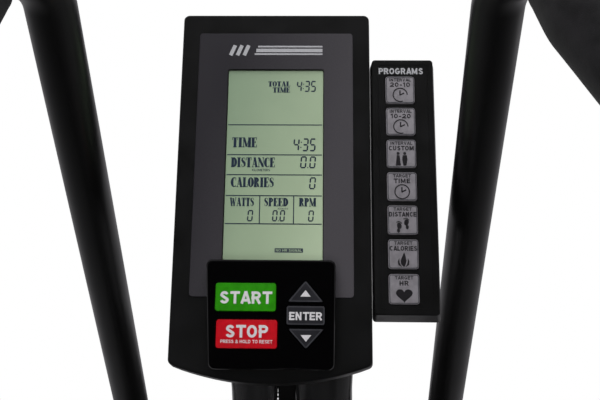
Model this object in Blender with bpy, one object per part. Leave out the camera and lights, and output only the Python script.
"""Air bike: a fan-resistance exercise bike with swinging arms and a tilted console.

Metres, +X to the rider's right, +Y the way the rider faces, +Z up.
The origin is on the floor, in the middle of the bike's bounding box.
"""
import math

import bmesh
import bpy
from mathutils import Vector

# ---------------------------------------------------------------- driving sizes
GAP = 0.0003                    # clearance left between faces that touch
HALF_LENGTH = 0.645             # the bike reaches this far each way along Y

FOOT_HEIGHT = 0.032
STABILISER_TOP = 0.075
STABILISER_DEPTH = 0.060
REAR_STABILISER_Y = -HALF_LENGTH + STABILISER_DEPTH / 2
FRONT_STABILISER_Y = 0.480
STABILISER_HALF_WIDTH = 0.280

FAN_CENTRE = Vector((0.0, 0.345, 0.420))
CAGE_RADIUS = HALF_LENGTH - FAN_CENTRE.y
FAN_RADIUS = 0.262
FAN_HALF_WIDTH = 0.040
FAN_VANES = 14
SHAFT_RADIUS = 0.010

CRANK_CENTRE = Vector((0.0, -0.180, 0.345))
CRANK_LENGTH = 0.170            # axle to pedal spindle
CRANKPIN_THROW = 0.026          # axle to link-rod pin
AXLE_RADIUS = 0.0125
PULLEY_RADIUS = 0.120
FAN_PULLEY_RADIUS = 0.026

SIDE_RAIL_X = 0.077             # mid-plane of the posts and stays beside the fan
SIDE_RAIL_HALF = 0.011
MAST_SHIFT = 0.0075             # the posts' tops stand this far to the right of the middle
MAST_SLOT_SHIFT = 0.00275       # half of how far the slot between them stands left of their middle
MAST_SLOT_HALF = 0.009
WEB_FOOT = 0.795                # the web in that slot reaches down to here
BELT_X = (0.092, 0.104)         # planes outboard of the side rails, on the right
COVER_X = (0.0895, 0.112)
INNER_WEB_X = (0.1155, 0.1275)
ROD_X = (0.1305, 0.1405)
OUTER_WEB_X = (0.1435, 0.1555)
PEDAL_X = (0.165, 0.255)

ARM_PIVOT = Vector((0.165, 0.075, 0.225))
ARM_BEND = Vector((0.1826, 0.2565, 0.740))
ARM_BEND_RADIUS = 0.10
HAND_BEND = Vector((0.160, -0.001, 1.276))
HAND_BEND_RADIUS = 0.038
ARM_END = Vector((0.279, -0.118, 1.111))
ARM_RADIUS = 0.01905            # 38.1 mm tube
TUBE_SIDES = 14
GRIP_THIN = 0.0222
GRIP_FULL = 0.0275
ROD_PIVOT_HEIGHT = CRANK_CENTRE.z

SEAT_FOOT_Y = -0.260            # where the seat tube's axis meets the spine's top
SEAT_LEAN = -0.2234             # change in Y for each metre of height
SEAT_TUBE_TOP = 0.640
SEAT_POST_FOOT = 0.400
PIN_HEIGHT = SEAT_TUBE_TOP - 0.025
INDEX_PITCH = 0.030             # between the post's index holes, in height
SEAT_POST_TOP = 0.860

CONSOLE_CENTRE = Vector((-0.008, 0.100, 1.060))
CONSOLE_LEAN = math.radians(28.0)               # the face leans back from vertical
CONSOLE_HALF_WIDTH = 0.0875
CONSOLE_MIDDLE = 0.0011         # across the face, from its centre
CONSOLE_TOP = 0.1734            # along the face, from its centre
CONSOLE_SIDE_FOOT = -0.1485
CONSOLE_FOOT = -0.163
FRONT_CASE_DEPTH = 0.022
CONSOLE_DEPTH = 0.050
WALL = 0.003
FACE_INSET = 0.0018             # the front case tapers in this much from its seam to its face
POD_FACE = 0.018                # height of the button pod's face above the case

BLACK = (0.012, 0.012, 0.013)
GREY = (0.045, 0.043, 0.050)
STEEL = (0.55, 0.55, 0.56)


# ---------------------------------------------------------------- scene helpers
def clear_scene():
    for old in list(bpy.data.objects):
        bpy.data.objects.remove(old, do_unlink=True)


def make_material(name, colour, roughness, metallic=0.0):
    material = bpy.data.materials.new(name)
    material.use_nodes = True
    shader = material.node_tree.nodes["Principled BSDF"]
    shader.inputs["Base Color"].default_value = (*colour, 1.0)
    shader.inputs["Roughness"].default_value = roughness
    shader.inputs["Metallic"].default_value = metallic
    material.diffuse_color = (*colour, 1.0)
    return material


def solid(name, rings, material, origin=None, ring_shaped=False, parent=None):
    """One closed body lofted through rings of equal length.

    Open chains are capped at both ends; a ring-shaped chain joins its last ring to its first.
    """
    origin = Vector(origin) if origin is not None else Vector()
    mesh_data = bmesh.new()
    loops = [[mesh_data.verts.new(Vector(point) - origin) for point in ring] for ring in rings]
    count = len(loops[0])
    pairs = list(zip(loops, loops[1:]))
    if ring_shaped:
        pairs.append((loops[-1], loops[0]))
    for lower, upper in pairs:
        for i in range(count):
            j = (i + 1) % count
            mesh_data.faces.new((lower[i], lower[j], upper[j], upper[i]))
    if not ring_shaped:
        mesh_data.faces.new(list(reversed(loops[0])))
        mesh_data.faces.new(loops[-1])
    return finish_mesh(name, mesh_data, material, origin, parent)


def finish_mesh(name, mesh_data, material, origin, parent=None):
    bmesh.ops.recalc_face_normals(mesh_data, faces=mesh_data.faces)
    mesh = bpy.data.meshes.new(name)
    mesh_data.to_mesh(mesh)
    mesh_data.free()
    mesh.materials.append(material)
    mesh.shade_smooth()
    mesh.set_sharp_from_angle(angle=math.radians(35.0))
    piece = bpy.data.objects.new(name, mesh)
    piece.location = origin
    if parent is not None:
        piece.parent = parent
    bpy.context.scene.collection.objects.link(piece)
    return piece


def use_as_tool(piece, tool, operation):
    modifier = piece.modifiers.new(tool.name, "BOOLEAN")
    modifier.operation = operation
    modifier.object = tool
    tool.hide_render = True
    tool.display_type = "WIRE"


def cut(piece, *cutters):
    for cutter in cutters:
        use_as_tool(piece, cutter, "DIFFERENCE")


def weld(piece, *additions):
    for addition in additions:
        use_as_tool(piece, addition, "UNION")


# ---------------------------------------------------------------- rings of points
def oval(centre, across, along, half_across, half_along, sides, power=2.0):
    """A superellipse: power 2 is an ellipse, larger powers are squarer."""
    ring = []
    for i in range(sides):
        angle = 2 * math.pi * (i + 0.5) / sides
        c = math.cos(angle)
        s = math.sin(angle)
        u = math.copysign(abs(c) ** (2 / power), c) * half_across
        v = math.copysign(abs(s) ** (2 / power), s) * half_along
        ring.append(centre + across * u + along * v)
    return ring


def circle_x(x, y, z, radius, sides):
    """A circle round an axis along X."""
    return oval(Vector((x, y, z)), Vector((0, 1, 0)), Vector((0, 0, 1)), radius, radius, sides)


def turned_x(name, centre, profile, sides, material, ring_shaped=False, origin=None):
    """A body turned about an axis along X, from a profile of (x, radius) points."""
    rings = [circle_x(x, centre.y, centre.z, radius, sides) for x, radius in profile]
    place = origin if origin is not None else centre
    return solid(name, rings, material, place, ring_shaped)


def bore_x(name, centre, start, end, radius, sides=24):
    """The cutter of a round hole along X."""
    return turned_x(name, centre, ((start, radius), (end, radius)), sides, MATERIALS["steel"])


def turned_z(name, x, y, profile, sides, material):
    """A body turned about a vertical axis, from a profile of (z, radius) points."""
    across = Vector((1, 0, 0))
    along = Vector((0, 1, 0))
    rings = [oval(Vector((x, y, z)), across, along, r, r, sides) for z, r in profile]
    return solid(name, rings, material)


def box(name, low, high, material=None):
    corners = [(low[0], low[1]), (high[0], low[1]), (high[0], high[1]), (low[0], high[1])]
    rings = [[Vector((x, y, z)) for x, y in corners] for z in (low[2], high[2])]
    return solid(name, rings, material or MATERIALS["frame"])


def plate_x(name, outline, x_low, x_high, material, origin=None):
    """An outline of (y, z) points extruded along X."""
    rings = [[Vector((x, y, z)) for y, z in outline] for x in (x_low, x_high)]
    return solid(name, rings, material, origin)


def link_outline(start, end, start_radius, end_radius, steps=8):
    """The outline, in (y, z), of two discs joined by their outer tangents."""
    run = Vector((end[0] - start[0], end[1] - start[1]))
    heading = math.atan2(run.y, run.x)
    flare = math.acos((start_radius - end_radius) / run.length)
    outline = []
    for i in range(steps + 1):
        angle = heading - flare + 2 * flare * i / steps
        outline.append((end[0] + end_radius * math.cos(angle), end[1] + end_radius * math.sin(angle)))
    for i in range(steps + 1):
        angle = heading + flare + 2 * (math.pi - flare) * i / steps
        outline.append((start[0] + start_radius * math.cos(angle), start[1] + start_radius * math.sin(angle)))
    return outline


def rounded_path(corners, radii, steps):
    """A path through corners, each inner corner rounded to its radius by an arc."""
    path = [corners[0]]
    for before, corner, after, radius in zip(corners, corners[1:], corners[2:], radii):
        arriving = (corner - before).normalized()
        leaving = (after - corner).normalized()
        turn = arriving.angle(leaving)
        setback = radius * math.tan(turn / 2)
        centre = corner + (leaving - arriving).normalized() * (radius / math.cos(turn / 2))
        start = corner - arriving * setback - centre
        axis = arriving.cross(leaving).normalized()
        for i in range(steps + 1):
            swing = turn * i / steps
            spoke = start * math.cos(swing) + axis.cross(start) * math.sin(swing)
            path.append(centre + spoke)
    path.append(corners[-1])
    return path


def rings_along(path, radii, sides):
    """Round sections square to a path, turned so that their first point keeps to one side."""
    rings = []
    across = Vector((1, 0, 0))
    for i, point in enumerate(path):
        before = path[max(i - 1, 0)]
        after = path[min(i + 1, len(path) - 1)]
        tangent = (after - before).normalized()
        across = (across - tangent * across.dot(tangent)).normalized()
        along = tangent.cross(across)
        rings.append(oval(point, across, along, radii[i], radii[i], sides))
    return rings


def mirrored(ring_list, side):
    return [[Vector((side * point.x, point.y, point.z)) for point in ring] for ring in ring_list]


def on_side(point, side):
    return Vector((side * point.x, point.y, point.z))


def side_name(side):
    return "right" if side > 0 else "left"


def side_range(pair, side):
    return sorted((side * pair[0], side * pair[1]))


# ---------------------------------------------------------------- base frame
def rounded_bar(name, y, half_width, material):
    """A crossbar along X with softly rounded ends."""
    z = (FOOT_HEIGHT + STABILISER_TOP) / 2
    tall = (STABILISER_TOP - FOOT_HEIGHT) / 2
    deep = STABILISER_DEPTH / 2
    full = half_width - 0.008
    stations = ((-half_width, 0.86), (-full, 1.0), (full, 1.0), (half_width, 0.86))
    rings = []
    for x, share in stations:
        centre = Vector((x, y, z))
        rings.append(oval(centre, Vector((0, 1, 0)), Vector((0, 0, 1)), deep * share, tall * share, 16, 6.0))
    return solid(name, rings, material)


def stabiliser(name, y):
    bar = rounded_bar(name, y, STABILISER_HALF_WIDTH, MATERIALS["frame"])
    for side in (-1, 1):
        x = side * (STABILISER_HALF_WIDTH - 0.045)
        profile = ((0.0, 0.024), (FOOT_HEIGHT * 0.6, 0.021), (FOOT_HEIGHT + 0.010, 0.014))
        weld(bar, turned_z(f"{name}_foot_{side_name(side)}", x, y, profile, 16, MATERIALS["rubber"]))
    return bar


def wheel_mount(side, wheel_centre):
    """The lug and stub axle that carry one transport wheel."""
    lug_x = side_range((0.140, 0.150), side)
    lug = plate_x(
        f"wheel_lug_{side_name(side)}",
        link_outline((FRONT_STABILISER_Y, 0.055), (wheel_centre.y, wheel_centre.z), 0.018, 0.012, 6),
        lug_x[0], lug_x[1], MATERIALS["frame"])
    profile = [(side * 0.145, 0.005), (side * 0.1745, 0.005), (side * 0.1745, 0.009), (side * 0.178, 0.009)]
    return lug, turned_x(f"wheel_stub_{side_name(side)}", wheel_centre, profile, 12, MATERIALS["steel"])


def transport_wheel(side, wheel_centre):
    inner = side * 0.1505
    outer = side * 0.1742
    edge = side * 0.004
    profile = [
        (inner, 0.0053), (inner, 0.024), (inner + edge, 0.028),
        (outer - edge, 0.028), (outer, 0.024), (outer, 0.0053)]
    turned_x(f"{side_name(side)}_transport_wheel", wheel_centre, profile, 20,
             MATERIALS["rubber"], ring_shaped=True)


def build_base():
    stabiliser("rear_stabiliser", REAR_STABILISER_Y)
    front = stabiliser("front_stabiliser", FRONT_STABILISER_Y)
    for side in (-1, 1):
        wheel_centre = Vector((side * 0.162, FRONT_STABILISER_Y + 0.062, 0.050))
        weld(front, *wheel_mount(side, wheel_centre))
        transport_wheel(side, wheel_centre)
    half = STABILISER_DEPTH / 2 + 2 * GAP
    rings = []
    for y in (REAR_STABILISER_Y + half, FRONT_STABILISER_Y - half):
        centre = Vector((0, y, (0.033 + STABILISER_TOP) / 2))
        rings.append(oval(centre, Vector((1, 0, 0)), Vector((0, 0, 1)), 0.025, 0.021, 12, 8.0))
    solid("spine_tube", rings, MATERIALS["frame"])


def build_crank_post():
    foot = STABILISER_TOP + GAP
    post = box("crank_post", (-0.025, CRANK_CENTRE.y - 0.027, foot),
               (0.025, CRANK_CENTRE.y + 0.027, CRANK_CENTRE.z))
    shell = turned_x("bracket_shell", CRANK_CENTRE, ((-0.0655, 0.030), (0.0655, 0.030)), 24,
                     MATERIALS["frame"])
    weld(post, shell)
    cut(post, bore_x("bracket_bore", CRANK_CENTRE, -0.08, 0.08, AXLE_RADIUS + GAP))


def build_pivot_bracket():
    """The post and sleeve that hold the shaft of the swinging arms and the foot pegs."""
    centre = Vector((0, ARM_PIVOT.y, ARM_PIVOT.z))
    foot = STABILISER_TOP + GAP
    post = box("pivot_bracket", (-0.025, centre.y - 0.020, foot), (0.025, centre.y + 0.020, centre.z))
    sleeve = turned_x("pivot_sleeve", centre, ((-0.135, 0.022), (0.135, 0.022)), 24, MATERIALS["frame"])
    weld(post, sleeve)
    cut(post, bore_x("pivot_bore", centre, -0.15, 0.15, AXLE_RADIUS + GAP))
    turned_x("pivot_shaft", centre, ((-0.270, AXLE_RADIUS), (0.270, AXLE_RADIUS)), 24, MATERIALS["steel"])
    for side in (-1, 1):
        bore_radius = AXLE_RADIUS + GAP
        profile = [
            (side * 0.2705, bore_radius), (side * 0.1925, bore_radius), (side * 0.1925, 0.022),
            (side * 0.1965, 0.022), (side * 0.1985, 0.0185), (side * 0.280, 0.0185),
            (side * 0.284, 0.0165)]
        turned_x(f"{side_name(side)}_foot_peg", centre, profile, 20, MATERIALS["rubber"])


def post_line(height):
    """The Y of the mast posts' centre line at a height: one straight line through the fan's axle."""
    slope = (FAN_CENTRE.y - FRONT_STABILISER_Y) / (FAN_CENTRE.z - STABILISER_TOP)
    return FRONT_STABILISER_Y + slope * (height - STABILISER_TOP)


def post_heading():
    return Vector((0, post_line(1.0) - post_line(0.0), 1.0)).normalized()


def build_mast_post(side):
    """A side post: it stands on the front stabiliser, holds the fan's shaft and closes in on the console."""
    across = Vector((1, 0, 0))
    square = across.cross(post_heading())
    level = Vector((0, -1, 0))
    stations = (
        (0.0753, SIDE_RAIL_X, 0.0, 0.011, 0.024, level),
        (0.140, SIDE_RAIL_X, 0.0, 0.011, 0.0225, square),
        (0.640, SIDE_RAIL_X, 0.0, 0.011, 0.0225, square),
        (0.690, 0.0755, 0.2, 0.0125, 0.0220, square),
        (0.740, 0.0545, 0.8, 0.0215, 0.0200, square),
        (0.775, 0.0395, 1.0, 0.0265, 0.0190, square),
        (0.830, 0.0365, 1.0, 0.0275, 0.0185, square),
        (0.930, 0.0365, 1.0, 0.0275, 0.0185, square))
    rings = []
    for height, x, shift, half_x, half_depth, along in stations:
        drift = shift * (MAST_SHIFT - MAST_SLOT_SHIFT)
        centre = Vector((side * x + drift, post_line(height), height))
        half_across = half_x + side * shift * MAST_SLOT_SHIFT
        rings.append(oval(centre, across, along, half_across, half_depth, 16, 3.2))
    post = solid(f"{side_name(side)}_mast_post", rings, MATERIALS["frame"])
    cut(post, bore_x(f"post_bore_{side_name(side)}", FAN_CENTRE, side * 0.05, side * 0.10,
                     SHAFT_RADIUS + GAP, 20))


def build_stay(side):
    """A flat stay from the crank's bracket shell to the back of the mast post."""
    run = Vector((0, FAN_CENTRE.y - CRANK_CENTRE.y, FAN_CENTRE.z - CRANK_CENTRE.z)).normalized()
    lift = Vector((1, 0, 0)).cross(run)
    heading = post_heading()
    setback = heading.cross(Vector((1, 0, 0)))
    if setback.y > 0:
        setback = -setback
    wall = FAN_CENTRE + setback * (0.0225 + 2 * GAP)
    half = 0.017
    corners = []
    for sign in (-1, 1):
        start = CRANK_CENTRE + lift * (sign * half)
        reach = (wall - start).dot(setback) / run.dot(setback)
        corners.append(start + run * reach)
    eye = []
    for i in range(11):
        angle = math.pi * (0.5 + i / 10)
        eye.append(CRANK_CENTRE + run * (0.028 * math.cos(angle)) + lift * (0.028 * math.sin(angle)))
    outline = [(point.y, point.z) for point in [corners[0], corners[1]] + eye]
    x_low, x_high = side_range((SIDE_RAIL_X - SIDE_RAIL_HALF, SIDE_RAIL_X + SIDE_RAIL_HALF), side)
    stay = plate_x(f"{side_name(side)}_stay", outline, x_low, x_high, MATERIALS["frame"])
    cut(stay, bore_x(f"stay_bore_{side_name(side)}", CRANK_CENTRE, side * 0.05, side * 0.10,
                     AXLE_RADIUS + GAP))


# ---------------------------------------------------------------- fan
def cage_profile():
    """(radius, x) stations of one guard, in pairs: each pair is the two edges of one ring."""
    return (
        (0.040, 0.060), (0.062, 0.060), (0.146, 0.0605), (0.153, 0.0605),
        (0.226, 0.059), (0.233, 0.0585), (0.278, 0.046), (0.296, 0.022), (CAGE_RADIUS, 0.0006))


def guard_skin(profile, thickness):
    """Outer and inner (radius, x) stations, the inner ones set in square to the profile."""
    outer = [Vector(station) for station in profile]
    inner = []
    last = len(outer) - 1
    for i, station in enumerate(outer):
        run = (outer[min(i + 1, last)] - outer[max(i - 1, 0)]).normalized()
        inner.append(station + Vector((run.y, -run.x)) * thickness)
    inner[last] = Vector((outer[last].x - thickness, outer[last].y))
    return outer, inner


def build_fan_guard(side, spokes=16, bar=0.006, thickness=0.004):
    """A dished grille: rings and spokes cut from one shell, with a solid rim."""
    outer, inner = guard_skin(cage_profile(), thickness)
    stations = len(outer)
    mesh_data = bmesh.new()

    def vertex_grid(skin):
        grid = []
        for radius, x in skin:
            row = []
            for spoke in range(spokes):
                middle = 2 * math.pi * spoke / spokes
                half = bar / 2 / radius
                for angle in (middle - half, middle + half):
                    row.append(mesh_data.verts.new((
                        side * x,
                        radius * math.cos(angle),
                        radius * math.sin(angle))))
            grid.append(row)
        return grid

    front = vertex_grid(outer)
    back = vertex_grid(inner)
    columns = 2 * spokes
    rim_start = stations - 3

    def filled(row, column):
        if row < 0 or row >= stations - 1:
            return False
        return row % 2 == 0 or column % columns % 2 == 0 or row >= rim_start

    def wall(row_a, column_a, row_b, column_b):
        mesh_data.faces.new((
            front[row_a][column_a], front[row_b][column_b],
            back[row_b][column_b], back[row_a][column_a]))

    for row in range(stations - 1):
        for column in range(columns):
            if not filled(row, column):
                continue
            after = (column + 1) % columns
            for grid in (front, back):
                mesh_data.faces.new((grid[row][column], grid[row][after],
                                     grid[row + 1][after], grid[row + 1][column]))
            if not filled(row - 1, column):
                wall(row, column, row, after)
            if not filled(row + 1, column):
                wall(row + 1, column, row + 1, after)
            if not filled(row, column - 1):
                wall(row, column, row + 1, column)
            if not filled(row, column + 1):
                wall(row, after, row + 1, after)
    finish_mesh(f"{side_name(side)}_fan_guard", mesh_data, MATERIALS["frame"], FAN_CENTRE)


def vane_star(hub_radius, vane_half):
    """The outline, in (y, z), of straight vanes standing on a hub."""
    outline = []
    step = 2 * math.pi / FAN_VANES
    for i in range(FAN_VANES):
        angle = i * step
        along = Vector((math.cos(angle), math.sin(angle)))
        across = Vector((-along.y, along.x))
        for radius, offset in ((FAN_RADIUS, -vane_half), (FAN_RADIUS, vane_half), (hub_radius, vane_half)):
            point = along * radius + across * offset
            outline.append((FAN_CENTRE.y + point.x, FAN_CENTRE.z + point.y))
        root = angle + step - math.asin(vane_half / hub_radius)
        outline.append((FAN_CENTRE.y + hub_radius * math.cos(root),
                        FAN_CENTRE.z + hub_radius * math.sin(root)))
    return outline


def build_fan():
    wheel = plate_x("fan_wheel", vane_star(0.030, 0.0015), -FAN_HALF_WIDTH, FAN_HALF_WIDTH,
                    MATERIALS["blade"], FAN_CENTRE)
    disc = turned_x("fan_disc", FAN_CENTRE, ((-0.003, 0.150), (0.003, 0.150)), 36, MATERIALS["blade"])
    weld(wheel, disc)
    cut(wheel, bore_x("fan_bore", FAN_CENTRE, -0.06, 0.06, SHAFT_RADIUS + GAP, 20))
    profile = (
        (-0.0925, SHAFT_RADIUS), (BELT_X[0] - 0.002, SHAFT_RADIUS),
        (BELT_X[0] - 0.002, FAN_PULLEY_RADIUS + 0.0015), (BELT_X[0], FAN_PULLEY_RADIUS + 0.0015),
        (BELT_X[0], FAN_PULLEY_RADIUS), (BELT_X[1], FAN_PULLEY_RADIUS),
        (BELT_X[1], FAN_PULLEY_RADIUS + 0.0015), (BELT_X[1] + 0.001, FAN_PULLEY_RADIUS + 0.0015),
        (BELT_X[1] + 0.001, SHAFT_RADIUS), (BELT_X[1] + 0.003, SHAFT_RADIUS))
    turned_x("fan_shaft", FAN_CENTRE, profile, 24, MATERIALS["steel"])


# ---------------------------------------------------------------- drive
def build_drive():
    turned_x("crank_axle", CRANK_CENTRE,
             ((-INNER_WEB_X[1], AXLE_RADIUS), (INNER_WEB_X[1], AXLE_RADIUS)), 24, MATERIALS["steel"])
    bore = AXLE_RADIUS + GAP
    profile = (
        (BELT_X[0], bore), (BELT_X[0], PULLEY_RADIUS), (BELT_X[1], PULLEY_RADIUS),
        (BELT_X[1], 0.106), (BELT_X[1] - 0.004, 0.102), (BELT_X[1] - 0.004, 0.034),
        (BELT_X[1], 0.030), (BELT_X[1], bore))
    turned_x("drive_pulley", CRANK_CENTRE, profile, 36, MATERIALS["steel"], ring_shaped=True)
    build_belt()
    for side in (-1, 1):
        build_drive_cover(side)


def build_belt():
    """The belt's loop: the outer tangents of the two pulleys, with running clearance inside."""
    crank = (CRANK_CENTRE.y, CRANK_CENTRE.z)
    fan = (FAN_CENTRE.y, FAN_CENTRE.z)
    clearance = 0.0007
    thickness = 0.003
    loops = []
    for grow in (clearance, clearance + thickness):
        loops.append(link_outline(crank, fan, PULLEY_RADIUS + grow, FAN_PULLEY_RADIUS + grow, 24))
    inset = 0.0006
    rings = []
    for x, loop in ((BELT_X[0] + inset, loops[0]), (BELT_X[1] - inset, loops[0]),
                    (BELT_X[1] - inset, loops[1]), (BELT_X[0] + inset, loops[1])):
        rings.append([Vector((x, y, z)) for y, z in loop])
    solid("drive_belt", rings, MATERIALS["rubber"], ring_shaped=True)


def build_drive_cover(side):
    """A dished cover over the pulleys, open towards the frame, with a hole for the crank axle."""
    crank = (CRANK_CENTRE.y, CRANK_CENTRE.z)
    fan = (FAN_CENTRE.y, FAN_CENTRE.z)

    def ring(x, inset):
        outline = link_outline(crank, fan, 0.150 - inset, 0.058 - inset, 14)
        return [Vector((side * x, y, z)) for y, z in outline]

    thin = 0.0025
    rings = [
        ring(COVER_X[1] - thin, 0.010), ring(COVER_X[1] - thin - 0.007, thin), ring(COVER_X[0], thin),
        ring(COVER_X[0], 0.0), ring(COVER_X[1] - 0.007, 0.0), ring(COVER_X[1], 0.009)]
    cover = solid(f"{side_name(side)}_drive_cover", rings, MATERIALS["plastic"])
    cut(cover, bore_x(f"cover_hole_{side_name(side)}", CRANK_CENTRE, side * 0.10, side * 0.12, 0.017, 20))


def build_crank(side):
    """Inner web, link-rod pin, outer web and pedal spindle; the right pedal stands up, the left down."""
    name = side_name(side)
    pin = CRANK_CENTRE + Vector((0, 0, side * CRANKPIN_THROW))
    pedal = CRANK_CENTRE + Vector((0, 0, side * CRANK_LENGTH))
    inner = side_range(INNER_WEB_X, side)
    outer = side_range(OUTER_WEB_X, side)
    web = plate_x(f"{name}_crank",
                  link_outline((CRANK_CENTRE.y, CRANK_CENTRE.z), (pin.y, pin.z), 0.024, 0.017, 8),
                  inner[0], inner[1], MATERIALS["crank"], CRANK_CENTRE)
    pin_body = turned_x(f"{name}_crankpin", pin,
                        ((side * (INNER_WEB_X[0] + 0.004), 0.008), (side * (OUTER_WEB_X[1] - 0.004), 0.008)),
                        16, MATERIALS["steel"])
    arm = plate_x(f"{name}_outer_web", link_outline((pin.y, pin.z), (pedal.y, pedal.z), 0.018, 0.014, 8),
                  outer[0], outer[1], MATERIALS["crank"])
    spindle = turned_x(f"{name}_spindle", pedal,
                       ((side * (OUTER_WEB_X[0] + 0.003), 0.0075), (side * (PEDAL_X[1] - 0.012), 0.0075)),
                       16, MATERIALS["steel"])
    weld(web, pin_body, arm, spindle)
    cut(web, bore_x(f"{name}_web_bore", CRANK_CENTRE, side * 0.10, side * 0.14, AXLE_RADIUS + GAP))
    build_pedal(side, pedal)


def build_pedal(side, centre):
    """A platform pedal on its spindle, widest in the middle, with chamfered edges."""
    low, high = side_range(PEDAL_X, side)
    rings = []
    for x, half_y, half_z in ((low, 0.038, 0.011), (low + 0.006, 0.046, 0.013),
                              (high - 0.006, 0.046, 0.013), (high, 0.038, 0.011)):
        middle = Vector((x, centre.y, centre.z))
        rings.append(oval(middle, Vector((0, 1, 0)), Vector((0, 0, 1)), half_y, half_z, 16, 5.0))
    pedal = solid(f"{side_name(side)}_pedal", rings, MATERIALS["plastic"], centre)
    cut(pedal, bore_x(f"pedal_bore_{side_name(side)}", centre, side * 0.150, side * (PEDAL_X[1] - 0.010),
                      0.0080, 16))


def rod_pivot():
    """Where the link rod meets the arm: on the arm's lower line, level with the crank's axle."""
    rise = (ROD_PIVOT_HEIGHT - ARM_PIVOT.z) / (ARM_BEND.z - ARM_PIVOT.z)
    return ARM_PIVOT + (ARM_BEND - ARM_PIVOT) * rise


def build_link_rod(side):
    pin = CRANK_CENTRE + Vector((0, 0, side * CRANKPIN_THROW))
    far = rod_pivot()
    low, high = side_range(ROD_X, side)
    rod = plate_x(f"{side_name(side)}_link_rod",
                  link_outline((pin.y, pin.z), (far.y, far.z), 0.0165, 0.0150, 8),
                  low, high, MATERIALS["crank"], pin)
    waist = link_outline((pin.y + 0.045, pin.z), (far.y - 0.045, far.z + side * 0.003), 0.0075, 0.0070, 6)
    slot_low, slot_high = side_range((ROD_X[1] - 0.003, ROD_X[1] + 0.010), side)
    slot = plate_x(f"rod_slot_{side_name(side)}", waist, slot_low, slot_high, MATERIALS["crank"])
    cut(rod, slot, bore_x(f"rod_eye_{side_name(side)}", pin, side * 0.12, side * 0.15, 0.0083, 16))


# ---------------------------------------------------------------- swinging arms
def arm_path(steps_low=4, steps_high=6):
    corners = [ARM_PIVOT, ARM_BEND, HAND_BEND, ARM_END]
    lower = rounded_path(corners[:3], [ARM_BEND_RADIUS], steps_low)
    upper = rounded_path([ARM_BEND, HAND_BEND, ARM_END], [HAND_BEND_RADIUS], steps_high)
    return lower[:-1] + upper[1:]


def build_arm(side):
    name = side_name(side)
    path = arm_path()
    rings = mirrored(rings_along(path, [ARM_RADIUS] * len(path), TUBE_SIDES), side)
    pivot = on_side(ARM_PIVOT, side)
    arm = solid(f"{name}_arm", rings, MATERIALS["frame"], pivot)
    housing = turned_x(f"{name}_arm_housing", pivot, ((side * 0.1415, 0.026), (side * 0.1905, 0.026)),
                       24, MATERIALS["frame"])
    far = rod_pivot()
    boss = turned_x(f"{name}_rod_boss", Vector((0, far.y, far.z)),
                    ((side * (ROD_X[1] + 0.0012), 0.0130), (side * 0.160, 0.0130)), 16, MATERIALS["frame"])
    weld(arm, housing, boss)
    cut(arm, bore_x(f"{name}_arm_bore", pivot, side * 0.13, side * 0.20, AXLE_RADIUS + 2 * GAP))
    build_grip(side, path)


def build_grip(side, path):
    """A foam sleeve with a closed end, from just before the end of the hand bend; it swells from its collar."""
    leaving = (ARM_END - HAND_BEND).normalized()
    bend_end = path[-2]
    run = [path[-3]] + [bend_end + leaving * ahead for ahead in (0.0, 0.012, 0.024, 0.034)] + [ARM_END]
    bore_radius = ARM_RADIUS + 0.0012
    bore_path = run[:-1] + [ARM_END + leaving * 0.0006]
    skin_path = run[:-1] + [ARM_END + leaving * 0.006, ARM_END + leaving * 0.014]
    full_from = 4
    skin = []
    for i in range(len(skin_path)):
        share = min(i / full_from, 1.0)
        skin.append(GRIP_THIN + (GRIP_FULL - GRIP_THIN) * share * share * (3 - 2 * share))
    skin[-1] = GRIP_FULL * 0.72
    inside = rings_along(bore_path, [bore_radius] * len(bore_path), TUBE_SIDES)
    outside = rings_along(skin_path, skin, TUBE_SIDES)
    rings = mirrored(list(reversed(inside)) + outside, side)
    solid(f"{side_name(side)}_grip", rings, MATERIALS["foam"], on_side(ARM_PIVOT, side))


# ---------------------------------------------------------------- seat
def seat_axis(height):
    return Vector((0, SEAT_FOOT_Y + SEAT_LEAN * (height - STABILISER_TOP), height))


def seat_column(name, low, high, half_x, half_y, material, origin=None):
    """A column along the seat's axis, with level ends."""
    across = Vector((1, 0, 0))
    along = Vector((0, 1, 0))
    rings = [oval(seat_axis(z), across, along, half_x, half_y, 12, 6.0) for z in (low, high)]
    return solid(name, rings, material, origin)


def build_seat_tube():
    tube = seat_column("seat_tube", STABILISER_TOP + GAP, SEAT_TUBE_TOP, 0.0255, 0.0265, MATERIALS["frame"])
    collar = seat_column("seat_collar", SEAT_TUBE_TOP - 0.050, SEAT_TUBE_TOP + 0.002, 0.0300, 0.0310,
                         MATERIALS["frame"])
    bore = seat_column("seat_bore", 0.330, SEAT_TUBE_TOP + 0.02, 0.0195, 0.0205, MATERIALS["steel"])
    pin_centre = seat_axis(PIN_HEIGHT)
    weld(tube, collar)
    cut(tube, bore, bore_x("pin_bore", pin_centre, 0.015, 0.05, 0.0053, 16))
    profile = ((0.0198, 0.0035), (0.0225, 0.0050), (0.0315, 0.0050), (0.0315, 0.0120),
               (0.036, 0.0150), (0.050, 0.0170), (0.056, 0.0150), (0.058, 0.0080))
    turned_x("height_pin", pin_centre, profile, 20, MATERIALS["plastic"])


def build_seat_post():
    """The sliding post, its row of index holes and the rail across its top."""
    post = seat_column("seat_post", SEAT_POST_FOOT, SEAT_POST_TOP, 0.0190, 0.0200, MATERIALS["steel"],
                       seat_axis(SEAT_POST_TOP))
    for i in range(-4, 3):
        centre = seat_axis(PIN_HEIGHT + INDEX_PITCH * i)
        cut(post, bore_x(f"index_hole_{i + 5}", centre, 0.012, 0.025, 0.0050, 8))
    head = seat_axis(SEAT_POST_TOP)
    rail = box("seat_rail", (-0.016, head.y - 0.095, head.z - 0.002), (0.016, head.y + 0.095, head.z + 0.024))
    weld(post, rail)


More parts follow.
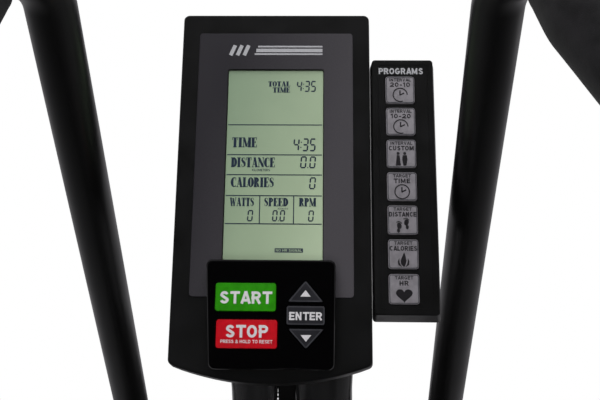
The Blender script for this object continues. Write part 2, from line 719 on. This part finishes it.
def build_carriage():
    """The block that slides on the rail and carries the saddle, with its clamp knob."""
    head = seat_axis(SEAT_POST_TOP)
    floor = head.z + 0.0015
    carriage = box("saddle_carriage", (-0.027, head.y - 0.045, floor), (0.027, head.y + 0.045, floor + 0.038),
                   MATERIALS["frame"])
    channel = box("rail_channel", (-0.0164, head.y - 0.06, floor - 0.01),
                  (0.0164, head.y + 0.06, head.z + 0.0245))
    knob_centre = Vector((0, head.y, head.z + 0.012))
    cut(carriage, channel, bore_x("knob_bore", knob_centre, 0.010, 0.04, 0.0048, 16))
    profile = ((0.0168, 0.0045), (0.0285, 0.0045), (0.0285, 0.0110), (0.032, 0.0150),
               (0.048, 0.0165), (0.052, 0.0150), (0.054, 0.0080))
    turned_x("slide_knob", knob_centre, profile, 20, MATERIALS["plastic"])


def saddle_outline(share):
    """Half-widths of the saddle from tail to nose, as (y offset, half-width), scaled by a share."""
    stations = (
        (-0.128, 0.050), (-0.118, 0.088), (-0.085, 0.118), (-0.040, 0.120), (0.005, 0.096),
        (0.045, 0.060), (0.090, 0.040), (0.120, 0.032), (0.134, 0.018))
    return [(offset * share, half * share) for offset, half in stations]


def saddle_body(name, base, height, share, material):
    """A lens across the saddle at each station: flat below, domed above, thinner at the two ends."""
    head = seat_axis(SEAT_POST_TOP)
    profile = (
        (-1.0, 0.35), (-0.92, 0.05), (0.0, 0.0), (0.92, 0.05), (1.0, 0.35),
        (0.93, 0.72), (0.65, 0.93), (0.0, 1.0), (-0.65, 0.93), (-0.93, 0.72))
    stations = saddle_outline(share)
    rings = []
    for offset, half in stations:
        end = offset in (stations[0][0], stations[-1][0])
        fullness = 0.35 if end else 1.0
        middle = 0.5 * height * (1 - fullness)
        rings.append([
            Vector((across * half, head.y + offset, base + middle + lift * height * fullness))
            for across, lift in profile])
    return solid(name, rings, material)


def build_saddle():
    head = seat_axis(SEAT_POST_TOP)
    base = head.z + 0.0015 + 0.038 + GAP
    saddle_body("saddle_pan", base, 0.014, 0.90, MATERIALS["plastic"])
    saddle_body("saddle", base + 0.0145, 0.060, 1.0, MATERIALS["vinyl"])


# ---------------------------------------------------------------- console
def console_frame():
    """An empty on the console's face: local X across, local Y up the face, local Z out of it."""
    frame = bpy.data.objects.new("console_frame", None)
    frame.location = CONSOLE_CENTRE
    frame.rotation_euler = (math.radians(90.0) - CONSOLE_LEAN, 0.0, 0.0)
    bpy.context.scene.collection.objects.link(frame)
    return frame


def arc_points(centre_x, centre_y, radius, start, sweep, steps):
    points = []
    for i in range(steps + 1):
        angle = math.radians(start + sweep * i / steps)
        points.append((centre_x + radius * math.cos(angle), centre_y + radius * math.sin(angle)))
    return points


def rounded_rectangle(left, right, low, high, radius, steps=3):
    outline = arc_points(right - radius, high - radius, radius, 0, 90, steps)
    outline += arc_points(left + radius, high - radius, radius, 90, 90, steps)
    outline += arc_points(left + radius, low + radius, radius, 180, 90, steps)
    outline += arc_points(right - radius, low + radius, radius, 270, 90, steps)
    return outline


def console_outline(inset=0.0):
    """The case's outline: square shoulders, and a foot that bows down between rounded corners."""
    half = CONSOLE_HALF_WIDTH - inset
    left = CONSOLE_MIDDLE - half
    right = CONSOLE_MIDDLE + half
    top = CONSOLE_TOP - inset
    corner = 0.005
    outline = arc_points(right - corner, top - corner, corner, 0, 90, 3)
    outline += arc_points(left + corner, top - corner, corner, 90, 90, 3)
    side_foot = CONSOLE_SIDE_FOOT + inset
    sag = CONSOLE_SIDE_FOOT - CONSOLE_FOOT
    outline += arc_points(left + corner, side_foot + corner, corner, 180, 75, 3)
    for i in range(1, 8):
        across = -1.0 + 2.0 * i / 8
        outline.append((CONSOLE_MIDDLE + across * (half - corner * 0.7), side_foot - sag * (1 - across * across)))
    outline += arc_points(right - corner, side_foot + corner, corner, 285, 75, 3)
    return outline


def layers(name, steps, material, parent, place=(0.0, 0.0, 0.0)):
    """A body through flat outlines stacked along the face's normal, as (outline, height) pairs."""
    rings = [[Vector((x, y, height)) for x, y in outline] for outline, height in steps]
    piece = solid(name, rings, material, None, False, parent)
    piece.location = place
    return piece


def build_console_cases(frame):
    back = -FRONT_CASE_DEPTH
    front_case = layers("console_front_case", (
        (console_outline(WALL + FACE_INSET), -WALL),
        (console_outline(WALL), back),
        (console_outline(0.0), back),
        (console_outline(FACE_INSET), -0.0020),
        (console_outline(FACE_INSET + 0.0018), 0.0)), MATERIALS["plastic"], frame)
    window = layers("window_cut", (
        (rounded_rectangle(*LCD_OPENING, 0.002), -0.01),
        (rounded_rectangle(*LCD_OPENING, 0.002), 0.01)), MATERIALS["steel"], frame)
    cut(front_case, window)
    seam = back - GAP
    layers("console_rear_case", (
        (console_outline(0.014), -CONSOLE_DEPTH + WALL),
        (console_outline(WALL + 0.001), seam),
        (console_outline(0.001), seam),
        (console_outline(0.003), -0.036),
        (console_outline(0.012), -CONSOLE_DEPTH)), MATERIALS["plastic"], frame)


LCD_OPENING = (-0.0415, 0.0450, -0.062, 0.1170)      # left, right, low, high on the face
OVERLAY_EDGE = (-0.0690, 0.0717, -0.0895, 0.1527)
OVERLAY_FACE = 0.0012


def build_display(frame):
    overlay = layers("console_overlay", (
        (rounded_rectangle(*OVERLAY_EDGE, 0.003), GAP),
        (rounded_rectangle(*OVERLAY_EDGE, 0.003), OVERLAY_FACE)), MATERIALS["overlay"], frame)
    window = layers("overlay_cut", (
        (rounded_rectangle(*LCD_OPENING, 0.002), -0.01),
        (rounded_rectangle(*LCD_OPENING, 0.002), 0.01)), MATERIALS["steel"], frame)
    cut(overlay, window)
    left, right, low, high = LCD_OPENING
    edge = 0.003
    slim = 0.0004
    wide = rounded_rectangle(left - edge, right + edge, low - edge, high + edge, 0.002)
    narrow = rounded_rectangle(left + slim, right - slim, low + slim, high - slim, 0.002)
    layers("lcd_module", (
        (wide, -0.0100), (wide, -WALL - GAP), (narrow, -WALL - GAP), (narrow, -0.0010)),
        MATERIALS["lcd"], frame)
    board = rounded_rectangle(-0.070, 0.070, -0.125, 0.140, 0.003, 1)
    layers("console_board", ((board, -0.0150), (board, -0.0134)), MATERIALS["board"], frame)


POD_EDGE = (-0.0530, 0.0560, -0.1498, -0.0597)
POD_TAPER = (0.0048, 0.0012)         # how far the pod's foot comes in, at its left and its right
KEY_TRAVEL_ROOM = 0.0065
KEY_PROUD = 0.0014
KEY_SLACK = 0.0004


def triangle_key(half_width, low, high, point_up):
    """A broad key that comes to a blunt point."""
    blunt = 0.004
    if point_up:
        return [(half_width, low), (half_width, low + 0.0035), (blunt, high), (-blunt, high),
                (-half_width, low + 0.0035), (-half_width, low)]
    return [(half_width, high), (-half_width, high), (-half_width, high - 0.0035), (-blunt, low),
            (blunt, low), (half_width, high - 0.0035)]


def grown(outline, amount):
    """An outline about (0, 0) made larger by an amount on each side."""
    half_x = max(x for x, _ in outline)
    half_y = max(y for _, y in outline)
    return [(x * (1 + amount / half_x), y * (1 + amount / half_y)) for x, y in outline]


def pod_keys():
    """(name, centre x, centre y, outline about that centre, material) for each pod key."""
    wide = rounded_rectangle(-0.0251, 0.0251, -0.0116, 0.0116, 0.002)
    enter = rounded_rectangle(-0.0158, 0.0158, -0.0078, 0.0078, 0.002)
    return (
        ("start_key", -0.0187, -0.0913, wide, "green"),
        ("stop_key", -0.0172, -0.1214, wide, "red"),
        ("up_key", 0.0308, -0.0864, triangle_key(0.0146, -0.0087, 0.0087, True), "key"),
        ("enter_key", 0.0310, -0.1060, enter, "key"),
        ("down_key", 0.0314, -0.1248, triangle_key(0.0146, -0.0080, 0.0080, False), "key"))


def build_key(name, outline, x, y, face, material, frame):
    """A key cap that stands in a pocket; its origin is on its own sliding axis."""
    top = KEY_PROUD
    layers(name, (
        (outline, -0.0050), (outline, top - 0.0008), (grown(outline, -0.0008), top)),
        material, frame, (x, y, face))


def pocket(name, outline, x, y, face, frame):
    wide = grown(outline, KEY_SLACK)
    return layers(name, ((wide, -KEY_TRAVEL_ROOM), (wide, 0.005)), MATERIALS["steel"], frame, (x, y, face))


def build_pod(frame):
    left, right, low, high = POD_EDGE

    def ring(inset):
        outline = []
        for x, y in rounded_rectangle(left + inset, right - inset, low + inset, high - inset, 0.006):
            fall = (high - y) / (high - low)
            outline.append((x + fall * (POD_TAPER[0] if x < 0 else -POD_TAPER[1]), y))
        return outline

    pod = layers("button_pod", (
        (ring(0.0), OVERLAY_FACE + GAP), (ring(0.0), POD_FACE - 0.004), (ring(0.0015), POD_FACE - 0.001),
        (ring(0.003), POD_FACE)), MATERIALS["gloss"], frame)
    for name, x, y, outline, material in pod_keys():
        cut(pod, pocket(f"{name}_pocket", outline, x, y, POD_FACE, frame))
        build_key(name, outline, x, y, POD_FACE, MATERIALS[material], frame)


PANEL_EDGE = (0.0890, 0.1443, -0.1038, 0.1273)
PANEL_DEPTH = 0.026
PROGRAM_KEYS = 7
PROGRAM_PITCH = 0.0299
PROGRAM_FIRST_Y = 0.0977
PROGRAM_X = 0.1141


def build_programs_panel(frame):
    """The side panel: a box with a flared skirt and a column of pocketed keys."""
    left, right, low, high = PANEL_EDGE

    def ring(flare, inset):
        return rounded_rectangle(left + inset, right - inset + flare, low + inset - flare,
                                 high - inset + flare, 0.0045)

    panel = layers("programs_panel", (
        (ring(0.004, 0.0), -PANEL_DEPTH), (ring(0.004, 0.0), -PANEL_DEPTH + 0.004),
        (ring(0.0, 0.0), -0.002), (ring(0.0, 0.0015), 0.0)), MATERIALS["plastic"], frame)
    cap = rounded_rectangle(-0.0130, 0.0130, -0.0128, 0.0128, 0.0025)
    for i in range(PROGRAM_KEYS):
        y = PROGRAM_FIRST_Y - i * PROGRAM_PITCH
        name = f"program_key_{i + 1}"
        cut(panel, pocket(f"{name}_pocket", cap, PROGRAM_X, y, 0.0, frame))
        build_key(name, cap, PROGRAM_X, y, 0.0, MATERIALS["key"], frame)


def build_mast_head():
    """The block that bolts the console's back to the tops of the two posts."""
    heading = post_heading()
    square = heading.cross(Vector((1, 0, 0)))
    if square.y < 0:
        square = -square
    top = Vector((0, post_line(0.930), 0.930)) + heading * (2 * GAP)
    up_face = Vector((0, math.sin(CONSOLE_LEAN), math.cos(CONSOLE_LEAN)))
    out_of_face = Vector((0, -math.cos(CONSOLE_LEAN), math.sin(CONSOLE_LEAN)))
    back = Vector((0, CONSOLE_CENTRE.y, CONSOLE_CENTRE.z)) - out_of_face * (CONSOLE_DEPTH + GAP)
    corners = (top + square * 0.0225, back + up_face * 0.020, back - up_face * 0.075, top - square * 0.0225)
    outline = [(point.y, point.z) for point in corners]
    head = plate_x("mast_head", outline, MAST_SHIFT - 0.050, MAST_SHIFT + 0.050, MATERIALS["frame"])
    foot = Vector((0, post_line(WEB_FOOT), WEB_FOOT))
    tongue = (foot - square * 0.004, foot + square * 0.004, top + heading * 0.003 + square * 0.004,
              top + heading * 0.003 - square * 0.004)
    middle = MAST_SHIFT - 2 * MAST_SLOT_SHIFT
    reach = MAST_SLOT_HALF - GAP
    weld(head, plate_x("mast_web", [(point.y, point.z) for point in tongue], middle - reach, middle + reach,
                       MATERIALS["frame"]))


def build_console():
    frame = console_frame()
    build_console_cases(frame)
    build_display(frame)
    build_pod(frame)
    build_programs_panel(frame)
    build_mast_head()


clear_scene()
MATERIALS = {
    "frame": make_material("black_paint", BLACK, 0.32),
    "plastic": make_material("black_plastic", (0.010, 0.010, 0.011), 0.45),
    "gloss": make_material("gloss_black", (0.004, 0.004, 0.004), 0.15),
    "overlay": make_material("grey_overlay", GREY, 0.40),
    "lcd": make_material("lcd_glass", (0.33, 0.41, 0.29), 0.12),
    "board": make_material("circuit_board", (0.02, 0.12, 0.05), 0.5),
    "green": make_material("green_key", (0.014, 0.22, 0.012), 0.35),
    "red": make_material("red_key", (0.42, 0.010, 0.016), 0.35),
    "key": make_material("grey_key", (0.16, 0.16, 0.165), 0.45),
    "steel": make_material("steel", STEEL, 0.30, 1.0),
    "crank": make_material("crank_paint", (0.02, 0.02, 0.021), 0.30, 0.4),
    "blade": make_material("fan_blade", (0.015, 0.015, 0.016), 0.35, 0.3),
    "rubber": make_material("rubber", (0.012, 0.012, 0.012), 0.75),
    "foam": make_material("foam_grip", (0.016, 0.015, 0.017), 0.85),
    "vinyl": make_material("saddle_vinyl", (0.012, 0.012, 0.013), 0.5),
}

build_base()
build_crank_post()
build_pivot_bracket()
build_fan()
build_drive()
for each_side in (-1, 1):
    build_mast_post(each_side)
    build_stay(each_side)
    build_fan_guard(each_side)
    build_crank(each_side)
    build_link_rod(each_side)
    build_arm(each_side)
build_seat_tube()
build_seat_post()
build_carriage()
build_saddle()
build_console()
